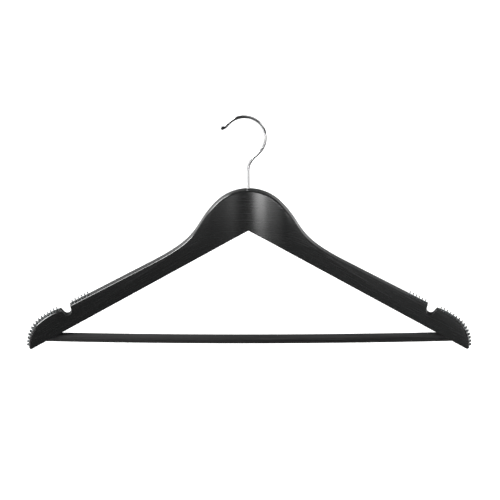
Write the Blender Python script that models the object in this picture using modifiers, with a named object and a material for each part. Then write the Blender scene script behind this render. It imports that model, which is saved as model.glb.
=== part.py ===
# Wooden clothes hanger: two lacquered arms joined at the crest by a glued finger joint, a swivelling
# wire hook, a fluted trouser bar pinned at both ends, and four clear toothed grips on the shoulders.
# The origin is the rail seat, the underside of the hook's crown straight above the shank.
# X runs along the arms, +Z is up and the front of the hanger faces -Y. Sizes are in metres.
# The arms are first made flat, with u along the board, v through its thickness and z up.
# They are then swept forward in plan, so that both tips come towards the front.

import math

import bmesh
import bpy
from mathutils import Matrix, Vector

# Fits
fit_gap = 0.0003
cut_overrun = 0.004
weld_distance = 0.00001

# Board, flat: height is measured down from the rail seat
board_thickness = 0.013
board_edge_radius = 0.0015
half_length = 0.2222
hook_reach = 0.0716
crest_radius = 0.0457
crest_angle = math.radians(45.5)
flank_reach = 0.0983
arm_height = 0.0201
arm_top_angle = math.radians(26.7)
flank_crest_share = 0.404
flank_arm_share = 0.673
throat_depth = 0.0413
throat_radius = 0.0010
underside_angle = math.radians(28.25)

# Rounded lobe outside the notch, as two arcs down to an upright tip
lobe_upper_radius = 0.062
lobe_lower_radius = 0.0305
lobe_start_angle = math.radians(18.0)
lobe_middle_angle = math.radians(41.0)
tip_radius = 0.0020

# Notch for straps: a round seat with a leaning mouth
notch_radius = 0.0041
notch_to_lobe = 0.0074
notch_seat_depth = 0.0048
notch_inner_lean = math.radians(15.0)
notch_outer_lean = math.radians(40.0)

# Plan shape
sweep_angle = math.radians(5.0)
sweep_round = 0.038
sweep_slices = 12

# Finger joint
finger_count = 6
finger_length = 0.008
finger_tip = 0.0012

# Hook
wire_radius = 0.00165
bow_radius = 0.0211
bow_offset = 0.0037
neck_angle = math.radians(45.0)
neck_radius = 0.010
bow_end_angle = math.radians(136.0)
lead_length = 0.0018
lead_bend_radius = 0.004
lead_bend_angle = math.radians(24.0)
ball_lead_length = 0.0018
ball_radius = 0.0019
rivet_radius = 0.0027
rivet_height = 0.0016

# Swivel sleeve and washer in the crest
sleeve_length = 0.018
sleeve_radius = 0.0034
knurl_depth = 0.0003
knurl_count = 24
sleeve_recess = 0.0004
washer_radius = 0.0032
washer_thickness = 0.0008
hole_end_room = 0.0012

# Trouser bar
bar_radius = 0.00465
flute_depth = 0.0003
flute_count = 18
bar_sag = 0.00275
bar_above_tip = 0.0125
bar_end_cover = 0.0080
bar_path_steps = 14

# Brads that pin the bar from the back
brad_radius = 0.0006
brad_length = 0.0080
brad_point = 0.0012
brad_head_radius = 0.0012
brad_head_height = 0.0004
brad_sink = 0.0001
brad_from_bar_end = 0.0060

# Clear grips let into the top of the shoulders
grip_width = 0.0052
grip_base = 0.0010
grip_rise = 0.0002
grip_from_lip = 0.0004
grip_lip_land = 0.0021
grip_end_land = 0.0003
tooth_pitch = 0.0035
tooth_height = 0.0028
tip_tooth_height = 0.0019
tooth_foot = 0.0021
tooth_crown = 0.0009
inner_teeth = 6
outer_teeth = 15
fin_thickness = 0.0014
fin_depth = 0.0036
fin_end_inset = 0.0010
barb_width = 0.0022
barb_height = 0.0007
barb_from_foot = 0.0006
barb_end_inset = 0.0018

arc_step = math.radians(6.0)
fine_arc_step = math.radians(22.5)
round_steps = 24

crest_z = -hook_reach
throat_z = crest_z - throat_depth


# General helpers

def new_collection(name):
    collection = bpy.data.collections.new(name)
    bpy.context.scene.collection.children.link(collection)
    return collection


def make_material(name, color, roughness, metallic=0.0, transmission=0.0):
    material = bpy.data.materials.new(name)
    material.use_nodes = True
    shader = material.node_tree.nodes["Principled BSDF"]
    shader.inputs["Base Color"].default_value = (*color, 1.0)
    shader.inputs["Roughness"].default_value = roughness
    shader.inputs["Metallic"].default_value = metallic
    shader.inputs["Transmission Weight"].default_value = transmission
    material.diffuse_color = (*color, 1.0)
    return material


def place(name, mesh, collection, material=None):
    piece = bpy.data.objects.new(name, mesh)
    collection.objects.link(piece)
    if material:
        mesh.materials.clear()
        mesh.materials.append(material)
    if collection is cutters:
        piece.hide_render = True
        piece.display_type = "WIRE"
    return piece


def evaluated_mesh(piece):
    bpy.context.view_layer.update()
    graph = bpy.context.evaluated_depsgraph_get()
    return bpy.data.meshes.new_from_object(piece.evaluated_get(graph))


def welded(mesh):
    work = bmesh.new()
    work.from_mesh(mesh)
    bmesh.ops.remove_doubles(work, verts=work.verts, dist=weld_distance)
    bmesh.ops.recalc_face_normals(work, faces=work.faces)
    work.to_mesh(mesh)
    work.free()
    return mesh


def curve_to_mesh(curve_data):
    curve_object = bpy.data.objects.new(curve_data.name, curve_data)
    bpy.context.scene.collection.objects.link(curve_object)
    mesh = welded(evaluated_mesh(curve_object))
    bpy.data.objects.remove(curve_object)
    return mesh


def boolean(piece, tool, operation):
    modifier = piece.modifiers.new(operation.lower(), "BOOLEAN")
    modifier.operation = operation
    modifier.solver = "EXACT"
    modifier.object = tool


def apply_modifiers(piece):
    mesh = evaluated_mesh(piece)
    piece.modifiers.clear()
    piece.data = mesh
    return piece


def smooth(piece, angle=math.radians(32.0)):
    piece.data.shade_smooth()
    piece.data.set_sharp_from_angle(angle=angle)


# Plane geometry

def steps_for(angle, step):
    return max(2, math.ceil(abs(angle) / step))


def falling_arc(start, radius, heading, end_heading, step=arc_step):
    """Points of an arc that runs outwards and turns down, headings measured below level."""
    count = steps_for(end_heading - heading, step)
    points = []
    for index in range(1, count + 1):
        angle = heading + (end_heading - heading) * index / count
        across = radius * (math.sin(angle) - math.sin(heading))
        down = radius * (math.cos(angle) - math.cos(heading))
        points.append(start + Vector((across, down)))
    return points


def bezier(start, start_handle, end_handle, end, count=12):
    points = []
    for index in range(1, count + 1):
        t = index / count
        s = 1.0 - t
        points.append(s**3 * start + 3 * s * s * t * start_handle + 3 * s * t * t * end_handle + t**3 * end)
    return points


def meeting_point(first, first_way, second, second_way):
    """Where two lines in the plane cross."""
    between = second - first
    turn = first_way.x * second_way.y - first_way.y * second_way.x
    along = (between.x * second_way.y - between.y * second_way.x) / turn
    return first + first_way * along


def rounded_corner(before, corner, after, radius, step=fine_arc_step):
    """Points of the arc that takes a corner's place."""
    way_in = (before - corner).normalized()
    way_out = (after - corner).normalized()
    half = way_in.angle(way_out) / 2
    centre = corner + (way_in + way_out).normalized() * radius / math.sin(half)
    first = corner + way_in * radius / math.tan(half) - centre
    turn = first.angle_signed(corner + way_out * radius / math.tan(half) - centre)
    count = steps_for(turn, step)
    points = []
    for index in range(count + 1):
        arm = first.copy()
        arm.rotate(Matrix.Rotation(-turn * index / count, 2))
        points.append(centre + arm)
    return points


def offset_line(points, distance):
    """A line moved to its left by a distance, with mitred corners."""
    moved = []
    for index, point in enumerate(points):
        before = points[max(index - 1, 0)]
        after = points[min(index + 1, len(points) - 1)]
        way_in = (point - before).normalized() if index else (after - point).normalized()
        way_out = (after - point).normalized() if after != point else way_in
        left = Vector((-way_in.y - way_out.y, way_in.x + way_out.x)).normalized()
        stretch = left.dot(Vector((-way_in.y, way_in.x)))
        moved.append(point + left * distance / stretch)
    return moved


def plate(name, outlines, half_depth, edge_radius=0.0):
    """A flat outline in u and z given its thickness along v, with rounded edges."""
    data = bpy.data.curves.new(name, "CURVE")
    data.dimensions = "2D"
    data.fill_mode = "BOTH"
    data.extrude = half_depth - edge_radius
    data.bevel_depth = edge_radius
    data.bevel_resolution = 1
    data.offset = -edge_radius
    for outline in outlines:
        spline = data.splines.new("POLY")
        spline.points.add(len(outline) - 1)
        spline.use_cyclic_u = True
        for target, point in zip(spline.points, outline):
            target.co = (point.x, point.y, 0.0, 1.0)
    return curve_to_mesh(data)


def upright(mesh):
    """Turns a plate from the XY plane so that its outline stands in X and Z."""
    mesh.transform(Matrix.Rotation(math.radians(90.0), 4, "X"))
    return mesh


def circle(radius, count, centre=Vector((0.0, 0.0))):
    points = []
    for index in range(count):
        angle = math.tau * index / count
        points.append(centre + radius * Vector((math.cos(angle), math.sin(angle))))
    return points


def ribbed_circle(radius, depth, ribs):
    points = []
    for index in range(2 * ribs):
        angle = math.tau * index / (2 * ribs)
        reach = radius - depth * (index % 2)
        points.append(reach * Vector((math.cos(angle), math.sin(angle))))
    return points


def turned(name, profile, collection, material=None, steps=round_steps):
    """A profile of (radius, height) points, top to bottom, turned about Z."""
    mesh = bpy.data.meshes.new(name)
    edges = [(index, index + 1) for index in range(len(profile) - 1)]
    mesh.from_pydata([(radius, 0.0, height) for radius, height in profile], edges, [])
    piece = place(name, mesh, collection, material)
    screw = piece.modifiers.new("turn", "SCREW")
    screw.axis = "Z"
    screw.steps = steps
    screw.render_steps = steps
    screw.use_merge_vertices = True
    screw.merge_threshold = weld_distance
    return piece


# Board outline

def underside_height(reach):
    return throat_z - math.tan(underside_angle) * reach


def arm_line_height(reach):
    """The arm's top, a straight line that starts a given height above the underside."""
    start = underside_height(flank_reach) + arm_height
    return start - math.tan(arm_top_angle) * (reach - flank_reach)


def lobe_start():
    upper = lobe_upper_radius * (math.sin(lobe_middle_angle) - math.sin(lobe_start_angle))
    lower = lobe_lower_radius * (1.0 - math.sin(lobe_middle_angle))
    reach = half_length - upper - lower
    return Vector((reach, arm_line_height(reach)))


def notch_centre():
    reach = lobe_start().x - notch_to_lobe
    return Vector((reach, arm_line_height(reach) - notch_seat_depth))


def notch_points():
    """The notch from its inner lip, round the seat, to its outer lip."""
    centre = notch_centre()
    arm_point = Vector((flank_reach, arm_line_height(flank_reach)))
    arm_way = Vector((math.cos(arm_top_angle), -math.sin(arm_top_angle)))
    inner_way = Vector((math.sin(notch_inner_lean), math.cos(notch_inner_lean)))
    outer_way = Vector((math.sin(notch_outer_lean), math.cos(notch_outer_lean)))
    first_angle = math.pi - notch_inner_lean
    last_angle = math.tau - notch_outer_lean
    count = steps_for(last_angle - first_angle, fine_arc_step)
    seat = []
    for index in range(count + 1):
        angle = first_angle + (last_angle - first_angle) * index / count
        seat.append(centre + notch_radius * Vector((math.cos(angle), math.sin(angle))))
    inner_lip = meeting_point(seat[0], inner_way, arm_point, arm_way)
    outer_lip = meeting_point(seat[-1], outer_way, arm_point, arm_way)
    return [inner_lip, *seat, outer_lip]


def lobe_points():
    """The shoulder outside the notch, from the lobe's start to the tip's upright side."""
    start = lobe_start()
    upper = falling_arc(start, lobe_upper_radius, lobe_start_angle, lobe_middle_angle)
    lower = falling_arc(upper[-1], lobe_lower_radius, lobe_middle_angle, math.radians(90.0))
    return [start, *upper, *lower]


def tip_corner():
    return Vector((half_length, underside_height(half_length)))


def half_outline():
    """The right half of the board, from the crest out to the tip and back to the throat."""
    crest = Vector((0.0, crest_z))
    crest_arc = falling_arc(crest, crest_radius, 0.0, crest_angle)
    crest_way = Vector((math.cos(crest_angle), -math.sin(crest_angle)))
    arm_way = Vector((math.cos(arm_top_angle), -math.sin(arm_top_angle)))
    arm_start = Vector((flank_reach, arm_line_height(flank_reach)))
    span = (arm_start - crest_arc[-1]).length
    flank = bezier(
        crest_arc[-1],
        crest_arc[-1] + crest_way * span * flank_crest_share,
        arm_start - arm_way * span * flank_arm_share,
        arm_start,
    )
    lobe = lobe_points()
    throat = Vector((0.0, throat_z))
    tip = rounded_corner(lobe[-1], tip_corner(), throat, tip_radius)
    return [crest, *crest_arc, *flank, *notch_points(), *lobe, *tip]


def board_outline():
    right = half_outline()
    left = [Vector((-point.x, point.y)) for point in reversed(right[1:])]
    throat = rounded_corner(right[-1], Vector((0.0, throat_z)), left[0], throat_radius)
    return [*right, *throat, *left]


# Plan shape

def plan_point(along, through):
    """Where a point of the flat board lands in plan: x along the hanger, y with the front at -Y."""
    side = math.copysign(1.0, along)
    bend_radius = sweep_round / sweep_angle
    reach = abs(along)
    turn = min(reach, sweep_round) / bend_radius
    straight = max(reach - sweep_round, 0.0)
    x = (bend_radius + through) * math.sin(turn) + straight * math.cos(turn)
    y = (bend_radius + through) * math.cos(turn) - bend_radius - straight * math.sin(turn)
    return side * x, y


def sweep_forward(piece):
    """Slices the flat piece where the board is rounded in plan, and moves its points there."""
    work = bmesh.new()
    work.from_mesh(piece.data)
    for index in range(sweep_slices + 1):
        along = sweep_round * (2 * index / sweep_slices - 1)
        whole = [*work.verts, *work.edges, *work.faces]
        bmesh.ops.bisect_plane(work, geom=whole, plane_co=(along, 0.0, 0.0), plane_no=(1.0, 0.0, 0.0))
    for vertex in work.verts:
        vertex.co.x, vertex.co.y = plan_point(vertex.co.x, vertex.co.y)
    work.to_mesh(piece.data)
    work.free()


# Finger joint

def finger_line():
    """The zigzag between the arms, from above the crest to below the throat."""
    pitch = throat_depth / finger_count
    slope = pitch / 2 - finger_tip
    half = finger_length / 2
    points = [Vector((half, crest_z + cut_overrun))]
    top = crest_z
    for _ in range(finger_count):
        points.append(Vector((half, top - finger_tip / 2)))
        points.append(Vector((-half, top - finger_tip / 2 - slope)))
        points.append(Vector((-half, top - finger_tip * 1.5 - slope)))
        points.append(Vector((half, top - finger_tip * 1.5 - 2 * slope)))
        top -= pitch
    points.append(Vector((half, throat_z - cut_overrun - finger_tip)))
    return points


def cut_fingers(arm, side):
    """Cuts away what lies past the joint line, half a gap short of it."""
    edge = offset_line(finger_line(), side * fit_gap / 2)
    far = -side * (half_length + cut_overrun)
    top = crest_z + cut_overrun
    bottom = tip_corner().y - cut_overrun
    edge = [Vector((edge[0].x, top)), *edge, Vector((edge[-1].x, bottom))]
    outline = [*edge, Vector((far, bottom)), Vector((far, top))]
    mesh = upright(plate("finger_cut", [outline], board_thickness / 2 + cut_overrun))
    boolean(arm, place("finger_cut", mesh, cutters), "DIFFERENCE")


# Hook, sleeve and washer

def bow_centre():
    inner = bow_radius - wire_radius
    return Vector((-bow_offset, -math.sqrt(inner**2 - bow_offset**2)))


def wire_bend(points, heading, radius, turn, step=arc_step):
    """Adds a bend to a wire that has run up to its last point, and gives its new heading."""
    start = points[-1]
    side = math.copysign(1.0, turn)
    centre = start + side * radius * Vector((-math.sin(heading), math.cos(heading)))
    count = steps_for(turn, step)
    for index in range(1, count + 1):
        angle = heading + turn * index / count
        points.append(centre - side * radius * Vector((-math.sin(angle), math.cos(angle))))
    return heading + turn


def wire_run(points, heading, length):
    points.append(points[-1] + length * Vector((math.cos(heading), math.sin(heading))))


def hook_points(bottom):
    """The wire's middle line from the rivet up to the ball, as straight runs and bends."""
    centre = bow_centre()
    level = math.radians(90.0)
    bow_start = centre + bow_radius * Vector((math.cos(neck_angle), -math.sin(neck_angle)))
    neck_side = neck_radius * (1.0 - math.cos(neck_angle))
    slant = (bow_start.x - neck_side) / math.sin(neck_angle)
    shank_top = bow_start.y - slant * math.cos(neck_angle) - neck_radius * math.sin(neck_angle)
    points = [Vector((0.0, bottom)), Vector((0.0, crest_z)), Vector((0.0, shank_top))]
    heading = wire_bend(points, level, neck_radius, -neck_angle)
    wire_run(points, heading, slant)
    heading = wire_bend(points, heading, bow_radius, neck_angle + bow_end_angle)
    wire_run(points, heading, lead_length)
    heading = wire_bend(points, heading, lead_bend_radius, -lead_bend_angle)
    wire_run(points, heading, ball_lead_length + ball_radius)
    return points


def rivet_top():
    washer_top = crest_z - sleeve_recess - sleeve_length - fit_gap
    return washer_top - washer_thickness - fit_gap


def hook_hole_bottom():
    return rivet_top() - rivet_height - hole_end_room


def make_hook():
    points = hook_points(rivet_top() - rivet_height / 2)
    data = bpy.data.curves.new("hook", "CURVE")
    data.dimensions = "3D"
    data.bevel_depth = wire_radius
    data.bevel_resolution = 4
    data.use_fill_caps = True
    spline = data.splines.new("POLY")
    spline.points.add(len(points) - 1)
    for target, point in zip(spline.points, points):
        target.co = (point.x, 0.0, point.y, 1.0)
    hook = place("hook", curve_to_mesh(data), parts, chrome)
    ball_data = bpy.data.meshes.new("hook_ball")
    work = bmesh.new()
    bmesh.ops.create_uvsphere(work, u_segments=round_steps, v_segments=round_steps // 2, radius=ball_radius)
    work.to_mesh(ball_data)
    work.free()
    ball = place("hook_ball_form", ball_data, cutters)
    ball.location = (points[-1].x, 0.0, points[-1].y)
    rivet_profile = [
        (0.0, rivet_top()),
        (rivet_radius, rivet_top()),
        (rivet_radius, rivet_top() - rivet_height),
        (0.0, rivet_top() - rivet_height),
    ]
    rivet = turned("hook_rivet_form", rivet_profile, cutters)
    boolean(hook, ball, "UNION")
    boolean(hook, rivet, "UNION")
    apply_modifiers(hook)
    smooth(hook)
    return hook


def make_sleeve():
    outer = ribbed_circle(sleeve_radius, knurl_depth, knurl_count)
    bore = circle(wire_radius + fit_gap, round_steps)
    mesh = plate("hook_sleeve", [outer, bore], sleeve_length / 2)
    sleeve = place("hook_sleeve", mesh, parts, blacked_steel)
    sleeve.location = (0.0, 0.0, crest_z - sleeve_recess - sleeve_length / 2)
    return sleeve


def make_washer():
    rim = circle(washer_radius, round_steps)
    bore = circle(wire_radius + fit_gap, round_steps)
    mesh = plate("hook_washer", [rim, bore], washer_thickness / 2)
    washer = place("hook_washer", mesh, parts, steel)
    washer.location = (0.0, 0.0, rivet_top() + fit_gap + washer_thickness / 2)
    smooth(washer)
    return washer


def hook_hole_cutter():
    hole_radius = sleeve_radius + fit_gap
    top = crest_z + cut_overrun
    bottom = hook_hole_bottom()
    profile = [(0.0, top), (hole_radius, top), (hole_radius, bottom), (0.0, bottom)]
    return turned("hook_hole", profile, cutters)


# Trouser bar and its brads

def bar_end():
    return plan_point(half_length - bar_end_cover, 0.0)[0]


def bar_end_height():
    return tip_corner().y + bar_above_tip


def bar_depth():
    """How far forward the bar lies: in the middle of the board halfway along its covered end."""
    exit_reach = (throat_z - bar_end_height()) / math.tan(underside_angle)
    return plan_point((exit_reach + half_length - bar_end_cover) / 2, 0.0)[1]


def bar_height(x):
    return bar_end_height() - bar_sag * (1.0 - (x / bar_end()) ** 2)


def sweep_along_bar(name, section, first, last, steps):
    """Sweeps a closed section along the sagging bar from one x to another."""
    section_data = bpy.data.curves.new(name + "_section", "CURVE")
    section_data.dimensions = "2D"
    outline = section_data.splines.new("POLY")
    outline.points.add(len(section) - 1)
    outline.use_cyclic_u = True
    for target, point in zip(outline.points, section):
        target.co = (point.x, point.y, 0.0, 1.0)
    section_object = place(name + "_section", section_data, cutters)
    data = bpy.data.curves.new(name, "CURVE")
    data.dimensions = "3D"
    data.bevel_mode = "OBJECT"
    data.bevel_object = section_object
    data.use_fill_caps = True
    spline = data.splines.new("POLY")
    spline.points.add(steps)
    for index, target in enumerate(spline.points):
        x = first + (last - first) * index / steps
        target.co = (x, bar_depth(), bar_height(x), 1.0)
    mesh = curve_to_mesh(data)
    bpy.data.objects.remove(section_object)
    return mesh


def make_bar():
    section = ribbed_circle(bar_radius, flute_depth, flute_count)
    mesh = sweep_along_bar("trouser_bar", section, -bar_end(), bar_end(), bar_path_steps)
    return place("trouser_bar", mesh, parts, black_wood)


def bar_hole_cutter(side):
    section = circle(bar_radius + fit_gap, round_steps)
    first = side * (bar_end() + fit_gap)
    last = side * (bar_end() / 2)
    mesh = sweep_along_bar("bar_hole", section, first, last, bar_path_steps // 2)
    return place("bar_hole", mesh, cutters)


def brad_frame(side):
    """The brad's place: its head in the arm's back, its axis square to the board."""
    x = side * (bar_end() - brad_from_bar_end)
    turn = side * sweep_angle
    back_face = bar_back_face(x)
    rotation = Matrix.Rotation(-turn, 4, "Z") @ Matrix.Rotation(math.radians(-90.0), 4, "X")
    return Matrix.Translation((x, back_face, bar_height(x))) @ rotation


def bar_back_face(x):
    """The y of the board's back face at an x on the straight part of an arm."""
    bend_radius = sweep_round / sweep_angle
    outer = bend_radius + board_thickness / 2
    rounded_x = outer * math.sin(sweep_angle)
    rounded_y = outer * math.cos(sweep_angle) - bend_radius
    return rounded_y - (abs(x) - rounded_x) * math.tan(sweep_angle)


def brad_profile(grow):
    """The brad from its head down to its point, grown all round for the hole it sits in."""
    head_top = -brad_sink + (cut_overrun if grow else 0.0)
    head_bottom = -brad_sink - brad_head_height - grow
    point_top = -brad_length + brad_point - grow
    return [
        (0.0, head_top),
        (brad_head_radius + grow, head_top),
        (brad_head_radius + grow, head_bottom),
        (brad_radius + grow, head_bottom),
        (brad_radius + grow, point_top),
        (0.0, -brad_length - grow),
    ]


def make_brad(name, side):
    brad = turned(name, brad_profile(0.0), parts, steel, steps=round_steps // 2)
    brad.matrix_world = brad_frame(side)
    smooth(brad)
    return brad


def brad_hole_cutter(side):
    cutter = turned("brad_hole", brad_profile(fit_gap), cutters, steps=round_steps // 2)
    cutter.matrix_world = brad_frame(side)
    return cutter


# Grips

def path_lengths(path):
    lengths = [0.0]
    for first, second in zip(path, path[1:]):
        lengths.append(lengths[-1] + (second - first).length)
    return lengths


def point_beside(path, lengths, along, away):
    """The point at a distance along a path and a distance to its left."""
    index = max(i for i, length in enumerate(lengths[:-1]) if i == 0 or length <= along)
    way = (path[index + 1] - path[index]).normalized()
    on_path = path[index] + way * (along - lengths[index])
    return on_path + Vector((-way.y, way.x)) * away


def grip_length(teeth):
    return grip_lip_land + (teeth - 1) * tooth_pitch + tooth_foot + grip_end_land


def inner_grip_path():
    """From the inner end of the grip to the notch, along the top of the arm."""
    lip = notch_points()[0]
    arm_way = Vector((math.cos(arm_top_angle), -math.sin(arm_top_angle)))
    end = lip - arm_way * grip_from_lip
    return [end - arm_way * grip_length(inner_teeth), end]


def outer_grip_path():
    """From the notch round the lobe and down the tip's side."""
    lobe = lobe_points()
    lobe_way = (lobe[1] - lobe[0]).normalized()
    lip = notch_points()[-1]
    start = lobe[0] - lobe_way * ((lobe[0] - lip).length - grip_from_lip)
    path = [start, *lobe[1:]]
    run_out = grip_length(outer_teeth) - path_lengths(path)[-1]
    if run_out > weld_distance:
        path.append(path[-1] - Vector((0.0, run_out)))
    return path


def strip_outline(path, low, high, first, last):
    """A band along a path between two offsets, with its upper corners between its lower ones."""
    lengths = path_lengths(path)
    stops = [first, *[length for length in lengths[1:-1] if first < length < last], last]
    middles = [(before + after) / 2 for before, after in zip(stops, stops[1:])]
    upper = [point_beside(path, lengths, stop, high) for stop in (first, *middles, last)]
    lower = [point_beside(path, lengths, stop, low) for stop in reversed(stops)]
    return [*upper, *lower]


def rack_outline(path, teeth, first_land, last_height):
    """The grip's side view: a base sunk in the wood and a row of teeth after a plain land."""
    lengths = path_lengths(path)
    upper = [point_beside(path, lengths, 0.0, grip_rise)]
    feet = [0.0]
    for index in range(teeth):
        middle = first_land + tooth_foot / 2 + index * tooth_pitch
        top = tooth_height + (last_height - tooth_height) * index / (teeth - 1)
        for half_width, height in (
            (-tooth_foot / 2, grip_rise),
            (-tooth_crown / 2, top),
            (tooth_crown / 2, top),
            (tooth_foot / 2, grip_rise),
        ):
            upper.append(point_beside(path, lengths, middle + half_width, height))
        feet.append(middle)
    feet.append(grip_length(teeth))
    upper.append(point_beside(path, lengths, feet[-1], grip_rise))
    lower = [point_beside(path, lengths, foot, -grip_base) for foot in reversed(feet)]
    return [*upper, *lower]


def mirrored(outline, side):
    if side > 0:
        return outline
    return [Vector((-point.x, point.y)) for point in reversed(outline)]


def make_grip(name, path, teeth, first_land, last_height, side):
    rack = mirrored(rack_outline(path, teeth, first_land, last_height), side)
    grip = place(name, upright(plate(name, [rack], grip_width / 2)), parts, clear_plastic)
    barb_low = -fin_depth + barb_from_foot
    for label, low, high, inset, width in (
        ("fin", -fin_depth, -grip_base / 2, fin_end_inset, fin_thickness),
        ("barb", barb_low, barb_low + barb_height, barb_end_inset, barb_width),
    ):
        outline = strip_outline(path, low, high, inset, grip_length(teeth) - inset)
        mesh = upright(plate(label, [mirrored(outline, side)], width / 2))
        form = place(f"{name}_{label}_form", mesh, cutters)
        boolean(grip, form, "UNION")
    apply_modifiers(grip)
    sweep_forward(grip)
    return grip


def cut_grip_seat(arm, path, teeth, open_start, open_end, side):
    """A shallow seat for the grip's base and a deep slot for its fin, open towards the notch."""
    length = grip_length(teeth)
    past_lip = grip_from_lip + cut_overrun
    for label, depth, width, inset in (
        ("seat", grip_base, grip_width, 0.0),
        ("slot", fin_depth, slot_width(), fin_end_inset),
    ):
        first = -past_lip if open_start else inset - fit_gap
        last = length + past_lip if open_end else length - inset + fit_gap
        outline = strip_outline(path, -depth - fit_gap, cut_overrun, first, last)
        half_width = width / 2 + fit_gap
        mesh = upright(plate(f"grip_{label}", [mirrored(outline, side)], half_width))
        boolean(arm, place(f"grip_{label}", mesh, cutters), "DIFFERENCE")


def slot_width():
    return max(fin_thickness, barb_width)


# Arms

def make_arm(name, side, hook_hole):
    board = plate(name, [board_outline()], board_thickness / 2, board_edge_radius)
    arm = place(name, upright(board), parts, black_lacquer)
    cut_fingers(arm, side)
    boolean(arm, hook_hole, "DIFFERENCE")
    cut_grip_seat(arm, inner_grip_path(), inner_teeth, False, True, side)
    cut_grip_seat(arm, outer_grip_path(), outer_teeth, True, False, side)
    apply_modifiers(arm)
    sweep_forward(arm)
    boolean(arm, bar_hole_cutter(side), "DIFFERENCE")
    boolean(arm, brad_hole_cutter(side), "DIFFERENCE")
    apply_modifiers(arm)
    smooth(arm)
    return arm


# Assembly

for old in list(bpy.data.objects):
    bpy.data.objects.remove(old)

parts = new_collection("wooden_clothes_hanger")
cutters = new_collection("cutters")

black_lacquer = make_material("black_lacquer", (0.012, 0.013, 0.013), 0.30)
black_wood = make_material("black_stained_wood", (0.016, 0.016, 0.016), 0.45)
chrome = make_material("chrome_plate", (0.80, 0.81, 0.82), 0.08, metallic=1.0)
steel = make_material("bright_steel", (0.55, 0.55, 0.56), 0.30, metallic=1.0)
blacked_steel = make_material("blacked_steel", (0.02, 0.02, 0.02), 0.35)
clear_plastic = make_material("clear_soft_plastic", (0.85, 0.86, 0.87), 0.25, transmission=0.8)

swivel = bpy.data.objects.new("hook_swivel", None)
swivel.location = (0.0, 0.0, crest_z)
parts.objects.link(swivel)

hook_hole = hook_hole_cutter()
left_arm = make_arm("left_arm", -1, hook_hole)
right_arm = make_arm("right_arm", 1, hook_hole)
turning_pieces = [make_hook(), make_washer()]
make_sleeve()
bar = make_bar()
for side_name, side in (("left", -1), ("right", 1)):
    make_brad(f"bar_brad_{side_name}", side)
    boolean(bar, brad_hole_cutter(side), "DIFFERENCE")
    inner_forms = (inner_grip_path(), inner_teeth, grip_end_land, tooth_height)
    outer_forms = (outer_grip_path(), outer_teeth, grip_lip_land, tip_tooth_height)
    make_grip(f"inner_grip_{side_name}", *inner_forms, side)
    make_grip(f"outer_grip_{side_name}", *outer_forms, side)
apply_modifiers(bar)
smooth(bar, math.radians(20.0))

bpy.context.view_layer.update()
for piece in turning_pieces:
    piece.parent = swivel
    piece.matrix_parent_inverse = swivel.matrix_world.inverted()
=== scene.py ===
# Looks of a black wooden clothes hanger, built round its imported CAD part.
# Lengths in the dictionaries are in millimetres and angles in degrees. The scene is in metres.
import math

import bmesh
import bpy
from mathutils import Matrix, Vector


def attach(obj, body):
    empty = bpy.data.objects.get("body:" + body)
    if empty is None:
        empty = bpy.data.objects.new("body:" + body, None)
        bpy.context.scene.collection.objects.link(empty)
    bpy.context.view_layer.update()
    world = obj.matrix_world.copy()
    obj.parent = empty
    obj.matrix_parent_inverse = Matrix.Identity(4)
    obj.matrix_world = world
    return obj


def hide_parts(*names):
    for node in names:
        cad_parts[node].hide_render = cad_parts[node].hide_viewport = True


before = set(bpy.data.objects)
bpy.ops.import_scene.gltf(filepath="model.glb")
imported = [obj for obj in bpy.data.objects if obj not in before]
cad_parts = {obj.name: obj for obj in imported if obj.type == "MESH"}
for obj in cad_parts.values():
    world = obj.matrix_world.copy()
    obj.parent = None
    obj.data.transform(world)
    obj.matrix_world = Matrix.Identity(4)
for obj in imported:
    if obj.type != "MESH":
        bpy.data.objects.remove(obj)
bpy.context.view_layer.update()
print("frame loaded:", ", ".join(sorted(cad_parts)))

mm = 0.001


# Small helpers

def linearColor(hexCode):
    channels = [int(hexCode[i:i + 2], 16) / 255 for i in (1, 3, 5)]
    return [c / 12.92 if c <= 0.04045 else ((c + 0.055) / 1.055) ** 2.4 for c in channels] + [1.0]


def addNode(tree, kind, settings={}, inputs={}):
    # An input is a value, a socket, or a node, whose first output is then linked
    node = tree.nodes.new(kind)
    for key, value in settings.items():
        setattr(node, key, value)
    for socket, value in inputs.items():
        if isinstance(value, bpy.types.Node):
            value = value.outputs[0]
        if isinstance(value, bpy.types.NodeSocket):
            tree.links.new(value, node.inputs[socket])
        else:
            node.inputs[socket].default_value = value
    return node


def newMaterial(name):
    material = bpy.data.materials.new(name)
    material.use_nodes = True
    material.node_tree.nodes.clear()
    return material, material.node_tree


def setRamp(node, stops):
    ramp = node.color_ramp
    while len(ramp.elements) < len(stops):
        ramp.elements.new(0.5)
    for element, (position, color) in zip(ramp.elements, stops):
        element.position = position
        element.color = color


def newObject(name, data):
    piece = bpy.data.objects.new(name, data)
    bpy.context.scene.collection.objects.link(piece)
    return piece


def finalMesh(piece):
    bpy.context.view_layer.update()
    return bpy.data.meshes.new_from_object(piece.evaluated_get(bpy.context.evaluated_depsgraph_get()))


def bakeModifiers(piece):
    mesh = finalMesh(piece)
    piece.modifiers.clear()
    piece.data = mesh
    return piece


def cut(piece, tool, operation="DIFFERENCE"):
    modifier = piece.modifiers.new("cut", "BOOLEAN")
    modifier.operation = operation
    modifier.solver = "EXACT"
    modifier.object = tool
    bakeModifiers(piece)
    bpy.data.objects.remove(tool)


def curveMesh(data):
    holder = newObject(data.name, data)
    mesh = finalMesh(holder)
    bpy.data.objects.remove(holder)
    work = bmesh.new()
    work.from_mesh(mesh)
    bmesh.ops.remove_doubles(work, verts=work.verts, dist=0.001 * mm)
    bmesh.ops.recalc_face_normals(work, faces=work.faces)
    work.to_mesh(mesh)
    work.free()
    return mesh


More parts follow.
